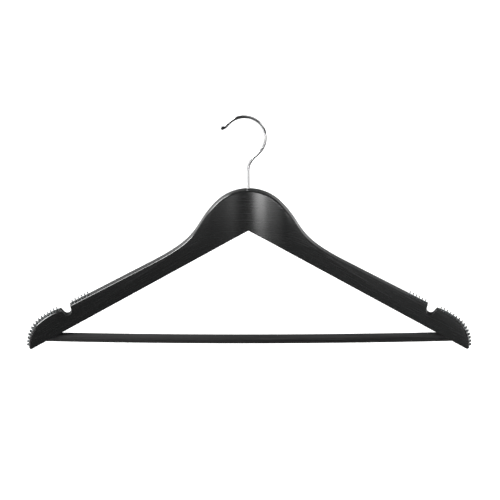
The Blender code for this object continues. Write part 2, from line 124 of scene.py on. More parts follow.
def plateMesh(name, outline, halfDepth, edgeRadius=0.0, edgeSteps=1):
    # A filled outline standing in X and Z, with rounded edges if edgeRadius is given
    data = bpy.data.curves.new(name, "CURVE")
    data.dimensions = "2D"
    data.fill_mode = "BOTH"
    data.extrude = halfDepth - edgeRadius
    data.bevel_depth = edgeRadius
    data.bevel_resolution = edgeSteps
    data.offset = -edgeRadius
    spline = data.splines.new("POLY")
    spline.points.add(len(outline) - 1)
    spline.use_cyclic_u = True
    for target, point in zip(spline.points, outline):
        target.co = (point.x, point.y, 0.0, 1.0)
    mesh = curveMesh(data)
    mesh.transform(Matrix.Rotation(math.radians(90), 4, "X"))
    return mesh


def turnedMesh(name, profile, steps=48):
    # A profile of (radius, height) pairs turned about Z
    work = bmesh.new()
    rings = []
    for radius, height in profile:
        if radius == 0:
            rings.append([work.verts.new((0, 0, height))] * steps)
            continue
        rings.append([
            work.verts.new((radius * math.cos(math.tau * k / steps), radius * math.sin(math.tau * k / steps), height))
            for k in range(steps)
        ])
    for upper, lower in zip(rings, rings[1:]):
        for k in range(steps):
            corners = [upper[k], lower[k], lower[(k + 1) % steps], upper[(k + 1) % steps]]
            corners = [c for i, c in enumerate(corners) if c not in corners[:i]]
            if len(corners) > 2:
                work.faces.new(corners)
    bmesh.ops.recalc_face_normals(work, faces=work.faces)
    mesh = bpy.data.meshes.new(name)
    work.to_mesh(mesh)
    work.free()
    return mesh


def softShade(piece, angle):
    piece.data.shade_smooth()
    piece.data.set_sharp_from_angle(angle=math.radians(angle))
    weighted = piece.modifiers.new("even shading", "WEIGHTED_NORMAL")
    weighted.mode = "FACE_AREA"
    weighted.weight = 100
    weighted.keep_sharp = True
    bakeModifiers(piece)


# Outline of the board, the same values as the CAD part, with finer steps

board = {
    "thickness": 13.0,
    "edgeRadius": 1.5,
    "halfLength": 222.2,
    "hookReach": 71.6,          # from the rail seat down to the crest
    "crestRadius": 45.7,
    "crestAngle": 45.5,
    "flankReach": 98.3,
    "armHeight": 20.1,          # from the underside to the top, where the straight arm starts
    "armTopAngle": 26.7,
    "flankCrestShare": 0.404,
    "flankArmShare": 0.673,
    "throatDepth": 41.3,
    "throatRadius": 1.0,
    "undersideAngle": 28.25,
    "lobeUpperRadius": 62.0,
    "lobeLowerRadius": 30.5,
    "lobeStartAngle": 18.0,
    "lobeMiddleAngle": 41.0,
    "tipRadius": 2.0,
    "notchRadius": 4.1,
    "notchToLobe": 7.4,
    "notchSeatDepth": 4.8,
    "notchInnerLean": 15.0,
    "notchOuterLean": 40.0,
    "sweepAngle": 5.0,          # how far each arm comes forward in plan
    "sweepRound": 38.0,         # half the length of the rounded middle
    "sweepSlices": 48,
    "fingerCount": 6,
    "fingerLength": 8.0,
    "fingerTip": 1.2,
    "holeRadius": 3.45,         # for the hook's sleeve, washer and rivet
    "holeDepth": 24.0,
    "gripFit": 0.05,            # round the grips in their seats
    "seatRunOut": 4.4,          # of the grips' seats, where they end in the notch or under the tip
    "sawDepth": 1.05,           # what the saw takes off the underside, in edge radii
    "sawnReach": (2.0, 1.0),    # past the notch's inner and outer lip, between which walls are dull
    "sawnBelow": 0.5,           # and this far below the arm's top
    "cutterPast": 4.0,          # how far cutters stand out of the wood
    "arcStep": 1.5,
    "flankSteps": 40,
    "notchStep": 8.0,
    "throatSteps": 6,
    "tipSteps": 10,
    "edgeSteps": 4,
    "sharpFrom": 35.0,
}

crestZ = -board["hookReach"] * mm
throatZ = crestZ - board["throatDepth"] * mm


def fallingArc(start, radius, heading, endHeading):
    count = max(2, math.ceil(abs(endHeading - heading) / board["arcStep"]))
    points = []
    for k in range(1, count + 1):
        angle = heading + (endHeading - heading) * k / count
        across = math.sin(math.radians(angle)) - math.sin(math.radians(heading))
        down = math.cos(math.radians(angle)) - math.cos(math.radians(heading))
        points.append(start + radius * Vector((across, down)))
    return points


def bezierPoints(start, startHandle, endHandle, end, count):
    points = []
    for k in range(1, count + 1):
        t = k / count
        s = 1 - t
        points.append(s**3 * start + 3 * s * s * t * startHandle + 3 * s * t * t * endHandle + t**3 * end)
    return points


def crossing(first, firstWay, second, secondWay):
    between = second - first
    turn = firstWay.x * secondWay.y - firstWay.y * secondWay.x
    return first + firstWay * (between.x * secondWay.y - between.y * secondWay.x) / turn


def roundedCorner(before, corner, after, radius, steps):
    wayIn = (before - corner).normalized()
    wayOut = (after - corner).normalized()
    half = wayIn.angle(wayOut) / 2
    centre = corner + (wayIn + wayOut).normalized() * radius / math.sin(half)
    first = corner + wayIn * radius / math.tan(half) - centre
    turn = first.angle_signed(corner + wayOut * radius / math.tan(half) - centre)
    points = []
    for k in range(steps + 1):
        arm = first.copy()
        arm.rotate(Matrix.Rotation(-turn * k / steps, 2))
        points.append(centre + arm)
    return points


def fromAngle(angle):
    return Vector((math.cos(math.radians(angle)), math.sin(math.radians(angle))))


def undersideHeight(reach):
    return throatZ - math.tan(math.radians(board["undersideAngle"])) * reach


armWay = fromAngle(-board["armTopAngle"])
armStart = Vector((
    board["flankReach"] * mm,
    undersideHeight(board["flankReach"] * mm) + board["armHeight"] * mm,
))


def armLineHeight(reach):
    return armStart.y - math.tan(math.radians(board["armTopAngle"])) * (reach - armStart.x)


def lobeStart():
    middle = math.sin(math.radians(board["lobeMiddleAngle"]))
    upper = board["lobeUpperRadius"] * mm * (middle - math.sin(math.radians(board["lobeStartAngle"])))
    lower = board["lobeLowerRadius"] * mm * (1 - middle)
    reach = board["halfLength"] * mm - upper - lower
    return Vector((reach, armLineHeight(reach)))


def notchPoints():
    # From the inner lip round the seat to the outer lip
    reach = lobeStart().x - board["notchToLobe"] * mm
    centre = Vector((reach, armLineHeight(reach) - board["notchSeatDepth"] * mm))
    first, last = 180 - board["notchInnerLean"], 360 - board["notchOuterLean"]
    count = math.ceil((last - first) / board["notchStep"])
    angles = [first + (last - first) * k / count for k in range(count + 1)]
    seat = [centre + board["notchRadius"] * mm * fromAngle(angle) for angle in angles]
    innerLip = crossing(seat[0], fromAngle(90 - board["notchInnerLean"]), armStart, armWay)
    outerLip = crossing(seat[-1], fromAngle(90 - board["notchOuterLean"]), armStart, armWay)
    return [innerLip, *seat, outerLip]


def notchCutter(side):
    # The notch is sawn after the edges are rounded, so its own edges stay crisp
    points = notchPoints()
    clear = board["notchSeatDepth"] * mm
    points = [
        points[0] + clear * fromAngle(90 - board["notchInnerLean"]), *points,
        points[-1] + clear * fromAngle(90 - board["notchOuterLean"]),
    ]
    outline = points if side < 0 else list(reversed(points))
    if side < 0:
        outline = [Vector((-p.x, p.y)) for p in outline]
    return newObject("notchCutter", plateMesh("notchCutter", outline, board["thickness"] * mm))


def lobePoints():
    start = lobeStart()
    upper = fallingArc(start, board["lobeUpperRadius"] * mm, board["lobeStartAngle"], board["lobeMiddleAngle"])
    lower = fallingArc(upper[-1], board["lobeLowerRadius"] * mm, board["lobeMiddleAngle"], 90.0)
    return [start, *upper, *lower]


tipCorner = Vector((board["halfLength"] * mm, undersideHeight(board["halfLength"] * mm)))


def throatPoints(before, corner, after):
    return roundedCorner(before, corner, after, board["throatRadius"] * mm, board["throatSteps"])


def boardOutline():
    crest = Vector((0.0, crestZ))
    crestArc = fallingArc(crest, board["crestRadius"] * mm, 0.0, board["crestAngle"])
    span = (armStart - crestArc[-1]).length
    flank = bezierPoints(
        crestArc[-1],
        crestArc[-1] + fromAngle(-board["crestAngle"]) * span * board["flankCrestShare"],
        armStart - armWay * span * board["flankArmShare"],
        armStart,
        board["flankSteps"],
    )
    # The underside is drawn too low by its rounding, which undersideCutter takes off
    sawn = board["edgeRadius"] * board["sawDepth"] * mm
    tooLow = Vector((0.0, -sawn / math.cos(math.radians(board["undersideAngle"]))))
    lobe = lobePoints()
    throat = Vector((0.0, throatZ)) + tooLow
    tip = roundedCorner(lobe[-1], tipCorner + tooLow, throat, board["tipRadius"] * mm, board["tipSteps"])
    right = [crest, *crestArc, *flank, *lobe, *tip]
    left = [Vector((-p.x, p.y)) for p in reversed(right[1:])]
    return [*right, *throatPoints(right[-1], throat, left[0]), *left]


def undersideCutter():
    # Everything below the board, so that a board made too deep gets the crisp lower edges that a saw leaves
    throat = Vector((0.0, throatZ))
    tip = roundedCorner(lobePoints()[-1], tipCorner, throat, board["tipRadius"] * mm, board["tipSteps"])
    right = [Vector((tip[0].x + board["thickness"] * mm, tip[0].y)), *tip]
    left = [Vector((-p.x, p.y)) for p in reversed(right)]
    edge = [*right, *throatPoints(right[-1], throat, left[0]), *left]
    bottom = tipCorner.y - board["thickness"] * mm
    outline = [*edge, Vector((edge[-1].x, bottom)), Vector((edge[0].x, bottom))]
    return newObject("undersideCutter", plateMesh("undersideCutter", outline, board["thickness"] * mm))


def planPoint(along, through):
    # Where a point of the flat board lands in plan
    bend = board["sweepRound"] * mm / math.radians(board["sweepAngle"])
    turn = min(abs(along), board["sweepRound"] * mm) / bend
    straight = max(abs(along) - board["sweepRound"] * mm, 0.0)
    x = (bend + through) * math.sin(turn) + straight * math.cos(turn)
    y = (bend + through) * math.cos(turn) - bend - straight * math.sin(turn)
    return math.copysign(x, along), y


def sweepForward(piece):
    work = bmesh.new()
    work.from_mesh(piece.data)
    for k in range(board["sweepSlices"] + 1):
        along = board["sweepRound"] * mm * (2 * k / board["sweepSlices"] - 1)
        whole = [*work.verts, *work.edges, *work.faces]
        bmesh.ops.bisect_plane(work, geom=whole, plane_co=(along, 0, 0), plane_no=(1, 0, 0))
    for vertex in work.verts:
        vertex.co.x, vertex.co.y = planPoint(vertex.co.x, vertex.co.y)
    work.to_mesh(piece.data)
    work.free()


def fingerCutter(side):
    # Everything past the joint line, as seen from one arm
    pitch = board["throatDepth"] * mm / board["fingerCount"]
    tip = board["fingerTip"] * mm
    slope = pitch / 2 - tip
    half = board["fingerLength"] * mm / 2
    past = board["cutterPast"] * mm
    line = [Vector((half, crestZ + past))]
    top = crestZ
    for _ in range(board["fingerCount"]):
        line.append(Vector((half, top - tip / 2)))
        line.append(Vector((-half, top - tip / 2 - slope)))
        line.append(Vector((-half, top - tip * 1.5 - slope)))
        line.append(Vector((half, top - tip * 1.5 - 2 * slope)))
        top -= pitch
    bottom = tipCorner.y - past
    line.append(Vector((half, bottom)))
    far = -side * (board["halfLength"] * mm + past)
    outline = [*line, Vector((far, bottom)), Vector((far, crestZ + past))]
    return newObject("fingerCutter", plateMesh("fingerCutter", outline, board["thickness"] * mm))


# Grips' paths along the top of the arm

grip = {
    "width": 5.2,
    "base": 1.0,
    "rise": 0.2,
    "fromLip": 0.4,
    "lipLand": 2.1,
    "endLand": 0.3,
    "pitch": 3.5,
    "toothHeight": 3.1,
    "tipToothHeight": 1.9,      # the outer grips' teeth get lower towards the tip
    "toothFoot": 2.1,           # length of strip that carries a tooth
    "toothWidth": 1.5,          # of the tooth itself, where it leaves the strip
    "toothTop": 0.62,           # radius of its rounded top
    "innerTeeth": 6,
    "outerTeeth": 15,
    "finThickness": 1.4,
    "finDepth": 3.6,
    "finEndInset": 1.0,
    "edgeRadius": 0.2,
    "topSteps": 8,
    "sharpFrom": 40.0,
}


def pathLengths(path):
    lengths = [0.0]
    for first, second in zip(path, path[1:]):
        lengths.append(lengths[-1] + (second - first).length)
    return lengths


def pointBeside(path, lengths, along, away):
    index = max(i for i, length in enumerate(lengths[:-1]) if i == 0 or length <= along)
    way = (path[index + 1] - path[index]).normalized()
    return path[index] + way * (along - lengths[index]) + Vector((-way.y, way.x)) * away


def gripLength(teeth):
    return (grip["lipLand"] + (teeth - 1) * grip["pitch"] + grip["toothFoot"] + grip["endLand"]) * mm


def innerGripPath():
    end = notchPoints()[0] - armWay * grip["fromLip"] * mm
    return [end - armWay * gripLength(grip["innerTeeth"]), end]


def outerGripPath():
    lobe = lobePoints()
    lobeWay = (lobe[1] - lobe[0]).normalized()
    start = lobe[0] - lobeWay * ((lobe[0] - notchPoints()[-1]).length - grip["fromLip"] * mm)
    path = [start, *lobe[1:]]
    runOut = gripLength(grip["outerTeeth"]) - pathLengths(path)[-1]
    if runOut > 0.01 * mm:
        path.append(path[-1] - Vector((0.0, runOut)))
    return path


def bandOutline(path, low, high, first, last):
    lengths = pathLengths(path)
    stops = [first, *[s for s in lengths[1:-1] if first < s < last], last]
    middles = [(a + b) / 2 for a, b in zip(stops, stops[1:])]
    upper = [pointBeside(path, lengths, s, high) for s in (first, *middles, last)]
    lower = [pointBeside(path, lengths, s, low) for s in reversed(stops)]
    return [*upper, *lower]


def rackOutline(path, teeth, firstLand, lastHeight):
    # The strip's side view, each tooth with a rounded top
    lengths = pathLengths(path)
    rise, top = grip["rise"] * mm, grip["toothTop"] * mm
    upper = [pointBeside(path, lengths, 0.0, rise)]
    feet = [0.0]
    for k in range(teeth):
        height = (grip["toothHeight"] + (lastHeight - grip["toothHeight"]) * k / (teeth - 1)) * mm
        middle = (firstLand + grip["toothFoot"] / 2 + k * grip["pitch"]) * mm
        upper.append(pointBeside(path, lengths, middle - grip["toothWidth"] * mm / 2, rise))
        for step in range(grip["topSteps"] + 1):
            turn = math.pi * (1 - step / grip["topSteps"])
            upper.append(pointBeside(
                path, lengths, middle + top * math.cos(turn), height - top + top * math.sin(turn)))
        upper.append(pointBeside(path, lengths, middle + grip["toothWidth"] * mm / 2, rise))
        feet.append(middle)
    feet.append(gripLength(teeth))
    upper.append(pointBeside(path, lengths, feet[-1], rise))
    return [*upper, *[pointBeside(path, lengths, foot, -grip["base"] * mm) for foot in reversed(feet)]]


def mirrored(outline, side):
    return outline if side > 0 else [Vector((-p.x, p.y)) for p in reversed(outline)]


# Trouser bar

bar = {
    "radius": 4.65,
    "fluteDepth": 0.3,
    "fluteCount": 18,
    "sag": 2.75,
    "aboveTip": 12.5,
    "endCover": 8.0,
    "holeFit": 0.02,
    "steps": 60,
    "around": 108,
    "sharpFrom": 50.0,
}

barEnd = planPoint((board["halfLength"] - bar["endCover"]) * mm, 0.0)[0]
barEndHeight = tipCorner.y + bar["aboveTip"] * mm
barExit = (throatZ - barEndHeight) / math.tan(math.radians(board["undersideAngle"]))
barDepth = planPoint((barExit + (board["halfLength"] - bar["endCover"]) * mm) / 2, 0.0)[1]


def barHeight(x):
    return barEndHeight - bar["sag"] * mm * (1 - (x / barEnd) ** 2)


def barMesh(name, first, last, grow=0.0, fluted=True):
    work = bmesh.new()
    rings = []
    for k in range(bar["steps"] + 1):
        x = first + (last - first) * k / bar["steps"]
        ring = []
        for j in range(bar["around"]):
            turn = math.tau * j / bar["around"]
            flute = bar["fluteDepth"] * (0.5 - 0.5 * math.cos(bar["fluteCount"] * turn)) if fluted else 0.0
            reach = (bar["radius"] - flute) * mm + grow
            y, z = barDepth + reach * math.cos(turn), barHeight(x) + reach * math.sin(turn)
            ring.append(work.verts.new((x, y, z)))
        rings.append(ring)
    for one, two in zip(rings, rings[1:]):
        for j in range(bar["around"]):
            nextJ = (j + 1) % bar["around"]
            work.faces.new((one[j], one[nextJ], two[nextJ], two[j]))
    work.faces.new(rings[0])
    work.faces.new(rings[-1])
    bmesh.ops.recalc_face_normals(work, faces=work.faces)
    mesh = bpy.data.meshes.new(name)
    work.to_mesh(mesh)
    work.free()
    return mesh


# Materials. A noise scale of 1000 / width draws cells of that many mm, because the scene is in metres

noiseRange = {"From Min": 0.3, "From Max": 0.7}     # where most of a noise's values lie

lacquer = {
    "color": "#212222",
    "grainColor": "#282929",
    "baseRoughness": (0.19, 0.25),
    "baseSpecular": 0.12,
    "sawnRoughness": 0.3,       # added in the notches, where end grain drinks the lacquer
    "coatRoughness": 0.085,
    "coatIor": 1.55,
    "grainWidth": 0.9,          # mm between pore lines, drawn coarser than beech's 0.1 so that it shows
    "grainLength": 26.0,
    "grainThrough": 2.7,
    "grainDepth": 0.004,
    "grainStrength": 0.6,
    "grainFall": 0.52,          # how steeply the lines fall along the arms
    "grainLevel": (45.0, 20.0),     # level this far from the middle, then bending over so many mm
    "crownTilt": 0.5,           # degrees that sanding turned the crest's face upwards
    "crownReach": (-112.0, -72.0),  # heights between which that tilt grows
}


def lacquerMaterial():
    # Beech sprayed with black nitrocellulose lacquer: near black, with crisp edge lights and the grain just telling
    material, tree = newMaterial("blackLacqueredBeech")
    place = addNode(tree, "ShaderNodeTexCoord").outputs["Object"]
    axes = addNode(tree, "ShaderNodeSeparateXYZ", {}, {0: place})
    level, bend = (length * mm for length in lacquer["grainLevel"])
    fromMiddle = addNode(tree, "ShaderNodeMath", {"operation": "ABSOLUTE"}, {0: axes.outputs["X"]})
    past = addNode(tree, "ShaderNodeMath", {"operation": "SUBTRACT"}, {0: fromMiddle, 1: level})
    outward = addNode(tree, "ShaderNodeMath", {"operation": "SMOOTH_MAX"}, {0: past, 1: 0.0, 2: bend})
    across = addNode(tree, "ShaderNodeMath", {"operation": "MULTIPLY_ADD"},
                     {0: outward, 1: lacquer["grainFall"], 2: axes.outputs["Z"]})
    along = addNode(tree, "ShaderNodeCombineXYZ", {}, {"X": axes.outputs["X"], "Y": axes.outputs["Y"], "Z": across})
    # One noise cell is grainLength along the board, grainThrough from front to back and grainWidth in height
    stretch = tuple(1000 / lacquer[side] for side in ("grainLength", "grainThrough", "grainWidth"))
    scaled = addNode(tree, "ShaderNodeVectorMath", {"operation": "MULTIPLY"}, {0: along, 1: stretch})
    grain = addNode(tree, "ShaderNodeTexNoise", {}, {"Vector": scaled, "Scale": 1.0, "Detail": 3.0, "Roughness": 0.6})
    tone = addNode(tree, "ShaderNodeValToRGB", {}, {"Fac": grain})
    setRamp(tone, [(0.3, linearColor(lacquer["color"])), (0.75, linearColor(lacquer["grainColor"]))])
    low, high = lacquer["baseRoughness"]
    sheen = addNode(tree, "ShaderNodeMapRange", {},
                    {"Value": grain, **noiseRange, "To Min": low, "To Max": high})
    sawn = addNode(tree, "ShaderNodeAttribute", {"attribute_name": "sawn"}).outputs["Fac"]
    dull = addNode(tree, "ShaderNodeMath", {"operation": "MULTIPLY_ADD"},
                   {0: sawn, 1: lacquer["sawnRoughness"], 2: sheen})
    coated = addNode(tree, "ShaderNodeMath", {"operation": "SUBTRACT"}, {0: 1.0, 1: sawn})
    # The crown is a parabola in height whose slope reaches crownTilt at the crest
    low, high = (height * mm for height in lacquer["crownReach"])
    climb = addNode(tree, "ShaderNodeMapRange", {},
                    {"Value": axes.outputs["Z"], "From Min": low, "From Max": high, "To Min": 0.0, "To Max": 1.0})
    bow = addNode(tree, "ShaderNodeMath", {"operation": "POWER"}, {0: climb, 1: 2.0})
    slope = -math.tan(math.radians(lacquer["crownTilt"])) * (high - low) / 2
    crown = addNode(tree, "ShaderNodeMath", {"operation": "MULTIPLY"}, {0: bow, 1: slope})
    crownBump = addNode(tree, "ShaderNodeBump", {}, {"Strength": 1.0, "Distance": 1.0, "Height": crown})
    bump = addNode(tree, "ShaderNodeBump", {}, {
        "Strength": lacquer["grainStrength"],
        "Distance": lacquer["grainDepth"] * mm,
        "Height": grain,
        "Normal": crownBump,
    })
    shader = addNode(tree, "ShaderNodeBsdfPrincipled", {}, {
        "Base Color": tone,
        "Roughness": dull,
        "Specular IOR Level": lacquer["baseSpecular"],
        "Normal": bump,
        "Coat Weight": coated,
        "Coat Roughness": lacquer["coatRoughness"],
        "Coat IOR": lacquer["coatIor"],
        "Coat Normal": bump,
    })
    addNode(tree, "ShaderNodeOutputMaterial", {}, {"Surface": shader})
    return material


stain = {
    "color": "#1e1e1e",
    "streakColor": "#3e3e3e",
    "leftEndHighlight": 0.32,            # painted highlight: how much lighter the stain is drawn towards the left end
    "roughness": (0.34, 0.50),
    "specular": 0.35,
    "streakWidth": 0.8,         # mm between streaks, drawn coarser than beech's pores so that they show
    "streakLength": 60.0,
    "streakDepth": 0.05,
    "streakStrength": 0.7,
}


def stainMaterial():
    # Beech dowel stained black under a thin satin coat: streaks run its whole length, and a painted highlight lightens
    # its left end
    material, tree = newMaterial("blackStainedBeech")
    place = addNode(tree, "ShaderNodeTexCoord").outputs["Object"]
    stretch = (1000 / stain["streakLength"], 1000 / stain["streakWidth"], 1000 / stain["streakWidth"])
    scaled = addNode(tree, "ShaderNodeVectorMath", {"operation": "MULTIPLY"}, {0: place, 1: stretch})
    streaks = addNode(tree, "ShaderNodeTexNoise", {},
                      {"Vector": scaled, "Scale": 1.0, "Detail": 4.0, "Roughness": 0.65})
    axes = addNode(tree, "ShaderNodeSeparateXYZ", {}, {0: place})
    # Painted highlight: the stain's colour is drawn lighter towards the bar's left end
    leftHighlight = addNode(tree, "ShaderNodeMapRange", {"interpolation_type": "SMOOTHSTEP"}, {
        "Value": axes.outputs["X"], "From Min": barEnd / 4, "From Max": -barEnd,
        "To Min": 0.0, "To Max": stain["leftEndHighlight"],
    })
    mixed = addNode(tree, "ShaderNodeMath", {"operation": "ADD"}, {0: streaks, 1: leftHighlight})
    tone = addNode(tree, "ShaderNodeValToRGB", {}, {"Fac": mixed})
    setRamp(tone, [(0.35, linearColor(stain["color"])), (0.75, linearColor(stain["streakColor"]))])
    low, high = stain["roughness"]
    sheen = addNode(tree, "ShaderNodeMapRange", {},
                    {"Value": streaks, **noiseRange, "To Min": low, "To Max": high})
    depth, strength = stain["streakDepth"] * mm, stain["streakStrength"]
    bump = addNode(tree, "ShaderNodeBump", {}, {"Strength": strength, "Distance": depth, "Height": streaks})
    shader = addNode(tree, "ShaderNodeBsdfPrincipled", {},
                     {"Base Color": tone, "Roughness": sheen, "Specular IOR Level": stain["specular"], "Normal": bump})
    addNode(tree, "ShaderNodeOutputMaterial", {}, {"Surface": shader})
    return material


chrome = {
    "color": "#eeeeef",
    "ballColor": "#5c5d5e",
    "ballReach": (2.2, 24.0),   # from the ball's middle, over which the darker colour ends
    "roughness": (0.02, 0.05),
    "cloudWidth": 6.0,          # mm over which the polish changes
    "pitWidth": 0.25,           # mm, too fine to show one by one
    "pitDepth": 0.002,
    "pitStrength": 0.15,
}


def chromeMaterial(ballCentre):
    # Chrome-plated steel wire: a mirror a little broken by fine pits, with its colour darker towards the ball
    material, tree = newMaterial("chromePlatedWire")
    place = addNode(tree, "ShaderNodeTexCoord").outputs["Object"]
    fromBall = addNode(tree, "ShaderNodeVectorMath", {"operation": "DISTANCE"}, {0: place, 1: ballCentre})
    near, far = (reach * mm for reach in chrome["ballReach"])
    # The base colour is darker at the ball and fades to the chrome colour over ballReach
    plated = addNode(tree, "ShaderNodeMapRange", {},
                     {"Value": fromBall.outputs["Value"], "From Min": near, "From Max": far,
                      "To Min": 0.0, "To Max": 1.0})
    tone = addNode(tree, "ShaderNodeValToRGB", {}, {"Fac": plated})
    setRamp(tone, [(0.0, linearColor(chrome["ballColor"])), (1.0, linearColor(chrome["color"]))])
    cloudy = addNode(tree, "ShaderNodeTexNoise", {},
                     {"Vector": place, "Scale": 1000 / chrome["cloudWidth"], "Detail": 3.0})
    low, high = chrome["roughness"]
    sheen = addNode(tree, "ShaderNodeMapRange", {},
                    {"Value": cloudy, **noiseRange, "To Min": low, "To Max": high})
    pits = addNode(tree, "ShaderNodeTexNoise", {},
                   {"Vector": place, "Scale": 1000 / chrome["pitWidth"], "Detail": 2.0})
    depth, strength = chrome["pitDepth"] * mm, chrome["pitStrength"]
    bump = addNode(tree, "ShaderNodeBump", {}, {"Strength": strength, "Distance": depth, "Height": pits})
    shader = addNode(tree, "ShaderNodeBsdfPrincipled", {},
                     {"Base Color": tone, "Metallic": 1.0, "Roughness": sheen, "Normal": bump})
    addNode(tree, "ShaderNodeOutputMaterial", {}, {"Surface": shader})
    return material


zinc = {
    "color": "#9b9c9e",
    "paleColor": "#b4b5b6",
    "roughness": (0.28, 0.42),
    "cloudWidth": 0.8,          # mm across a cloud in the plating
}


def zincMaterial():
    # Zinc-plated steel: grey and a little cloudy
    material, tree = newMaterial("zincPlatedSteel")
    place = addNode(tree, "ShaderNodeTexCoord").outputs["Object"]
    cloudy = addNode(tree, "ShaderNodeTexNoise", {},
                     {"Vector": place, "Scale": 1000 / zinc["cloudWidth"], "Detail": 3.0})
    tone = addNode(tree, "ShaderNodeValToRGB", {}, {"Fac": cloudy})
    setRamp(tone, [(0.3, linearColor(zinc["color"])), (0.7, linearColor(zinc["paleColor"]))])
    low, high = zinc["roughness"]
    sheen = addNode(tree, "ShaderNodeMapRange", {},
                    {"Value": cloudy, **noiseRange, "To Min": low, "To Max": high})
    shader = addNode(tree, "ShaderNodeBsdfPrincipled", {}, {"Base Color": tone, "Metallic": 1.0, "Roughness": sheen})
    addNode(tree, "ShaderNodeOutputMaterial", {}, {"Surface": shader})
    return material


sprayedSteel = {
    "color": "#1a1a1a",
    "paleColor": "#202020",
    "roughness": (0.50, 0.60),
    "specular": 0.15,
    "peelWidth": 0.6,           # mm from wave to wave of the orange peel
    "peelDepth": 0.01,
    "peelStrength": 0.3,
}


def blackSteelMaterial():
    # Steel bush sprayed black with the wood round it: an even dark sheen with a little orange peel
    material, tree = newMaterial("blackSprayedSteel")
    place = addNode(tree, "ShaderNodeTexCoord").outputs["Object"]
    peel = addNode(tree, "ShaderNodeTexNoise", {},
                   {"Vector": place, "Scale": 1000 / sprayedSteel["peelWidth"], "Detail": 2.0})
    tone = addNode(tree, "ShaderNodeValToRGB", {}, {"Fac": peel})
    setRamp(tone, [(0.3, linearColor(sprayedSteel["color"])), (0.7, linearColor(sprayedSteel["paleColor"]))])
    low, high = sprayedSteel["roughness"]
    sheen = addNode(tree, "ShaderNodeMapRange", {},
                    {"Value": peel, **noiseRange, "To Min": low, "To Max": high})
    depth, strength = sprayedSteel["peelDepth"] * mm, sprayedSteel["peelStrength"]
    bump = addNode(tree, "ShaderNodeBump", {}, {"Strength": strength, "Distance": depth, "Height": peel})
    shader = addNode(tree, "ShaderNodeBsdfPrincipled", {}, {
        "Base Color": tone, "Roughness": sheen, "Specular IOR Level": sprayedSteel["specular"], "Normal": bump,
    })
    addNode(tree, "ShaderNodeOutputMaterial", {}, {"Surface": shader})
    return material


clearVinyl = {
    "color": "#a9aeaf",
    "clear": 0.88,
    "ior": 1.53,
    "roughness": (0.12, 0.22),
    "hazeWidth": 1.2,           # mm across a patch of haze
}


def vinylMaterial():
    # Clear soft vinyl, moulded with a light haze: grey where it bends the light, pale where it doesn't
    material, tree = newMaterial("clearSoftVinyl")
    place = addNode(tree, "ShaderNodeTexCoord").outputs["Object"]
    cloudy = addNode(tree, "ShaderNodeTexNoise", {},
                     {"Vector": place, "Scale": 1000 / clearVinyl["hazeWidth"], "Detail": 2.0})
    low, high = clearVinyl["roughness"]
    sheen = addNode(tree, "ShaderNodeMapRange", {},
                    {"Value": cloudy, **noiseRange, "To Min": low, "To Max": high})
    shader = addNode(tree, "ShaderNodeBsdfPrincipled", {}, {
        "Base Color": linearColor(clearVinyl["color"]),
        "Roughness": sheen,
        "IOR": clearVinyl["ior"],
        "Transmission Weight": clearVinyl["clear"],
    })
    addNode(tree, "ShaderNodeOutputMaterial", {}, {"Surface": shader})
    return material


blackLacquer = lacquerMaterial()
blackStain = stainMaterial()
zincPlate = zincMaterial()
blackSteel = blackSteelMaterial()
softVinyl = vinylMaterial()
print("materials made")


# Board

def markSawn(arm):
    # The notch's walls, where the lacquer is dull: faces that look along the board, below its top
    notch = notchPoints()
    inner, outer = (reach * mm for reach in board["sawnReach"])
    sawn = arm.data.attributes.new("sawn", "FLOAT", "FACE")
    for face, mark in zip(arm.data.polygons, sawn.data):
        reach = abs(face.center.x)
        within = notch[0].x - inner < reach < notch[-1].x + outer
        below = face.center.z < armLineHeight(reach) - board["sawnBelow"] * mm
        mark.value = float(within and below and abs(face.normal.y) < 0.5)


def makeArm(name, side, node):
    half = board["thickness"] * mm / 2
    rounded = plateMesh(name, boardOutline(), half, board["edgeRadius"] * mm, board["edgeSteps"])
    arm = newObject(name, rounded)
    cut(arm, undersideCutter())
    cut(arm, notchCutter(side))
    cut(arm, fingerCutter(side))
    past, radius, bottom = board["cutterPast"] * mm, board["holeRadius"] * mm, -board["holeDepth"] * mm
    tool = newObject("hookHole", turnedMesh("hookHole", [(0, past), (radius, past), (radius, bottom), (0, bottom)]))
    tool.location.z = crestZ
    cut(arm, tool)
    fit, runOut = board["gripFit"] * mm, board["seatRunOut"] * mm
    for path, teeth, openStart, openEnd in (
        (innerGripPath(), grip["innerTeeth"], False, True),
        (outerGripPath(), grip["outerTeeth"], True, False),
    ):
        for depth, width, inset in (
            (grip["base"] * mm, grip["width"] * mm, 0.0),
            (grip["finDepth"] * mm, grip["finThickness"] * mm, grip["finEndInset"] * mm),
        ):
            first = -runOut if openStart else inset - fit
            last = gripLength(teeth) + (runOut if openEnd else fit - inset)
            band = bandOutline(path, -(depth + fit), past, first, last)
            cut(arm, newObject("seat", plateMesh("seat", mirrored(band, side), width / 2 + fit)))
    sweepForward(arm)
    hole = barMesh("barHole", side * barEnd / 2, side * barEnd, bar["holeFit"] * mm, False)
    cut(arm, newObject("barHole", hole))
    softShade(arm, board["sharpFrom"])
    markSawn(arm)
    arm.data.materials.clear()
    arm.data.materials.append(blackLacquer)
    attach(arm, "hanger")
    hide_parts(node)
    return arm


leftArm = makeArm("leftArmLacquered", -1, "left_arm")
rightArm = makeArm("rightArmLacquered", 1, "right_arm")
print("arms made:", len(leftArm.data.polygons) + len(rightArm.data.polygons), "faces")


# Grips

